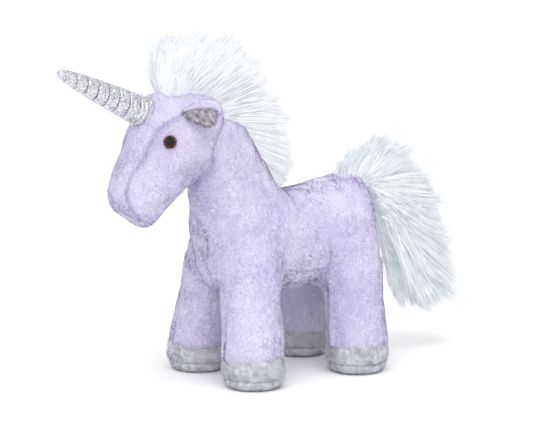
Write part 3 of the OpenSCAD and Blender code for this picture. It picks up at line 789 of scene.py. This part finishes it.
m_rows, m_ring = 260, 96
h = np.linspace(-3, HORN_LENGTH, m_rows)
ang = np.arange(m_ring) * 2 * math.pi / m_ring
H, A = np.meshgrid(h, ang, indexing="ij")
radius = horn_radius(H)
phase = (H - WIND_START) / WIND_LENGTH * TURNS - A / (2 * math.pi)
ridge = np.abs(((phase + 0.5) % 1) - 0.5)  # 0 in the wound groove
deep = np.exp(-((ridge / 0.07) ** 2)) * (H > WIND_START - 1)
flat = np.stack([A.ravel() * 8, H.ravel(), A.ravel() * 0], 1)
crinkle = (waves(flat, 3.0, 90) * 0.22 + waves(flat, 1.4, 91) * 0.14).reshape(H.shape)
size_h = radius / HORN_FOOT
swell = 0.15 * size_h * np.cos(ridge * 2 * math.pi)
radius = radius - swell - 0.4 * size_h * deep + crinkle * (0.35 + 0.65 * size_h)
round_end = np.clip((HORN_LENGTH + 1.0 - H) / 2.2, 0.05, 1) ** 0.5
p = horn_point(H, radius * round_end, A).reshape(-1, 3)
centre_line = (HORN_BASE + H[..., None] * HORN_WAY).reshape(-1, 3)
(q,) = face_outward(p, [grid_quads(m_rows, m_ring)], centre_line)
tip_face = np.arange((m_rows - 1) * m_ring, m_rows * m_ring)[None]
horn = make_mesh("horn_cover", p, [q, tip_face], None, (silver,))
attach(horn, "horn")
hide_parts("horn_cover", "horn_stuffing")

# Thread in the wound groove, dark grey as painted shade of that groove.
t = np.linspace(0, 1, TURNS * 40)
at = WIND_START + t * WIND_LENGTH
line = horn_point(at, horn_radius(at) * 0.965, 2 * math.pi * TURNS * t)
p, q = tube(line, np.full(len(line), 0.2), 8)
thread = make_mesh("horn_thread", p, [q], None, (winding,))
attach(thread, "horn")
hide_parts("horn_thread")

# ---------------------------------------------------------------- ears


EAR_FACE = unit(np.array([0.70, -0.70, -0.10]))
EAR_BACKWARD = np.array([0.70, 0.71, -0.08])
EAR_LONG = unit(EAR_BACKWARD - EAR_FACE * (EAR_BACKWARD @ EAR_FACE))
EAR_TALL = np.cross(EAR_FACE, EAR_LONG)
# Height of the near and the far ear's hood over the ear's line, and of their lining.
EAR_ABOVE = {"left": (9.2, 6.0), "right": (5.5, 4.0)}


def ear_surface(sign, length, above, below, front, back, roll):
    """Leaf lying back from its pinched base, thick enough for its rim to roll over the lining."""
    nu, nv = 30, 56
    along = 0.5 - 0.5 * np.cos(np.linspace(0.02, 1, nu) * math.pi)
    U, A = np.meshgrid(along, np.arange(nv) * 2 * math.pi / nv, indexing="ij")
    leaf = U ** 0.75 * np.sqrt(np.clip(1 - U ** 4, 0, 1)) / 0.667
    up, out = np.sin(A), np.cos(A)
    tall = np.where(up > 0, above, below) * up * leaf
    lip = np.clip((up - 0.42) / 0.25, 0, 1)
    lip = lip * lip * (3 - 2 * lip)
    hollow = (back + 4.5 * (1 - U)) * leaf ** 0.5
    deep = np.where(out > 0, (front + roll * lip) * leaf, hollow) * out
    mirror = [sign, 1, 1]
    centre = EAR_BASE + (length * U)[..., None] * EAR_LONG
    p = (centre + tall[..., None] * EAR_TALL + (deep + 1.5 * U ** 2)[..., None] * EAR_FACE)
    p, centre = p.reshape(-1, 3) * mirror, centre.reshape(-1, 3) * mirror
    (q,) = face_outward(p, [grid_quads(nu, nv)], centre)
    return p, vertex_normals(p, [q]), q


for side, sign in (("left", 1), ("right", -1)):
    ear_nap = combed(*(EAR_LONG * [sign, 1, 1] * 0.6 + [0, 0, -0.2]))
    above, lining_above = EAR_ABOVE[side]
    shape = ear_surface(sign, 23.0, above, 5.4, 0.4, 4.0, 3.4)
    ear = piece(
        f"ear_outer_{side}", WHOLE, 5, 1.8, 0.4, ear_nap, 0.3, (plush, pile), 61, src=shape,
    )
    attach(ear, f"ear_{side}")
    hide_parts(f"ear_outer_{side}")
    shape = ear_surface(sign, 20.5, lining_above, 6.4, 1.9, 0.5, 0)
    inner = piece(
        f"ear_lining_{side}", WHOLE, 11, 1.5, 0.4, ear_nap, 0.35, (lining, lining), 63, 0.8, shape,
    )
    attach(inner, f"ear_{side}")
    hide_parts(f"ear_lining_{side}")

# ---------------------------------------------------------------- eyes

RING_STITCHES, RING_RADIUS = 64, 2.95
PUPIL_STITCHES, PUPIL_RADIUS = 21, 2.5


def stitches(centres, ways, up, lengths, thick, name, mat):
    """Satin stitches: short rounded threads lying on the skin, where up is its normal."""
    nu, nv = 7, 6
    u = np.linspace(-1, 1, nu)
    ang = np.arange(nv) * 2 * math.pi / nv
    r = thick * np.sqrt(np.maximum(1 - (u * 0.98) ** 4, 0.02))
    pts, faces = [], []
    for k, (c, w, s) in enumerate(zip(centres, ways, lengths)):
        ring = np.cross(w, up) * np.cos(ang)[None, :, None] + up * np.sin(ang)[None, :, None]
        line = c + w * (u * s / 2)[:, None] + up * (0.25 * (1 - u ** 2))[:, None]
        pts.append((line[:, None] + r[:, None, None] * ring).reshape(-1, 3))
        faces.append(grid_quads(nu, nv) + k * nu * nv)
    return make_mesh(name, np.vstack(pts), [np.vstack(faces)], None, (mat,))


for side, sign in (("left", 1), ("right", -1)):
    hit = skin_tree.find_nearest(Vector(EYE * [sign, 1, 1]))
    c, nn = np.array(tuple(hit[0])), np.array(tuple(hit[1]))
    if nn[0] * sign < 0:
        nn = -nn
    nn = unit(nn)
    ey = unit(np.cross(nn, [0, 0, 1.0]))
    ez = np.cross(ey, nn)
    c = c + nn * 1.6
    ring, ways, lengths = [], [], []
    for k in range(RING_STITCHES):
        a = 2 * math.pi * k / RING_STITCHES
        d = ey * math.cos(a) + ez * math.sin(a)
        ring.append(c + d * (RING_RADIUS + 0.05 * math.sin(5 * a)) - nn * 0.1)
        ways.append(unit(d + 0.25 * np.cross(nn, d)))
        lengths.append(1.75 + 0.25 * math.sin(3 * k))
    obj = stitches(ring, ways, nn, lengths, 0.24, f"eye_ring_{side}", iris)
    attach(obj, "head")
    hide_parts(f"eye_ring_{side}")
    fill, lengths = [], []
    for o in np.linspace(-2.4, 2.4, PUPIL_STITCHES):
        fill.append(c + ez * o + nn * 0.12)
        lengths.append(2 * math.sqrt(max(PUPIL_RADIUS ** 2 - o * o, 0.2)))
    obj = stitches(fill, [ey] * len(fill), nn, lengths, 0.2, f"eye_pupil_{side}", pupil)
    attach(obj, "head")
    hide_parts(f"eye_pupil_{side}")

# ---------------------------------------------------------------- stage, light, camera


def plain(name, colour):
    """Matt material of one colour."""
    m = bpy.data.materials.new(name)
    m.use_nodes = True
    shader = m.node_tree.nodes["Principled BSDF"]
    shader.inputs["Base Color"].default_value = (*colour, 1)
    shader.inputs["Roughness"].default_value = 1.0
    shader.inputs["Specular IOR Level"].default_value = 0.0
    return m


bpy.ops.mesh.primitive_plane_add(size=8, location=(0, 0, 0))
floor = bpy.context.object
floor.name = "floor"
floor.data.materials.append(plain("studio_floor", (0.97, 0.97, 0.97)))

world = bpy.data.worlds.new("studio")
bpy.context.scene.world = world
world.use_nodes = True
background = world.node_tree.nodes["Background"]
background.inputs["Color"].default_value = (1.0, 1.0, 1.0, 1)
background.inputs["Strength"].default_value = 0.80


def lit(name, kind, way, power):
    """Stage lamp that shines along way."""
    data = bpy.data.lights.new(name, kind)
    data.energy = power
    obj = bpy.data.objects.new(name, data)
    obj.rotation_mode = "QUATERNION"
    obj.rotation_quaternion = way.to_track_quat("-Z", "Y")
    bpy.context.scene.collection.objects.link(obj)
    return obj


KEY_PLACE = Vector((1.1, -0.5, 1.0))
key = lit("key", "AREA", Vector((0, 0, 0.08)) - KEY_PLACE, 1.6)
key.location = KEY_PLACE
key.data.size = 0.7
sun = lit("overhead", "SUN", Vector((-0.35, 0.30, -1.0)), 1.35)
sun.data.angle = math.radians(55)

AZIMUTH, ELEVATION, DISTANCE = math.radians(55.5), math.radians(10.3), 1.5
camera = bpy.data.cameras.new("camera")
cam = bpy.data.objects.new("camera", camera)
bpy.context.scene.collection.objects.link(cam)
bpy.context.scene.camera = cam
level = math.cos(ELEVATION)
back = Vector((math.sin(AZIMUTH) * level, -math.cos(AZIMUTH) * level, math.sin(ELEVATION)))
cam.location = at_mm((0, -10, 75)) + back * DISTANCE
cam.rotation_mode = "QUATERNION"
cam.rotation_quaternion = (-back).to_track_quat("-Z", "Y")
camera.sensor_width = 36
camera.lens = 174.2
camera.shift_x = 0.0045
camera.shift_y = 0.0396
camera.clip_end = 20
bpy.context.scene.view_settings.view_transform = "Standard"
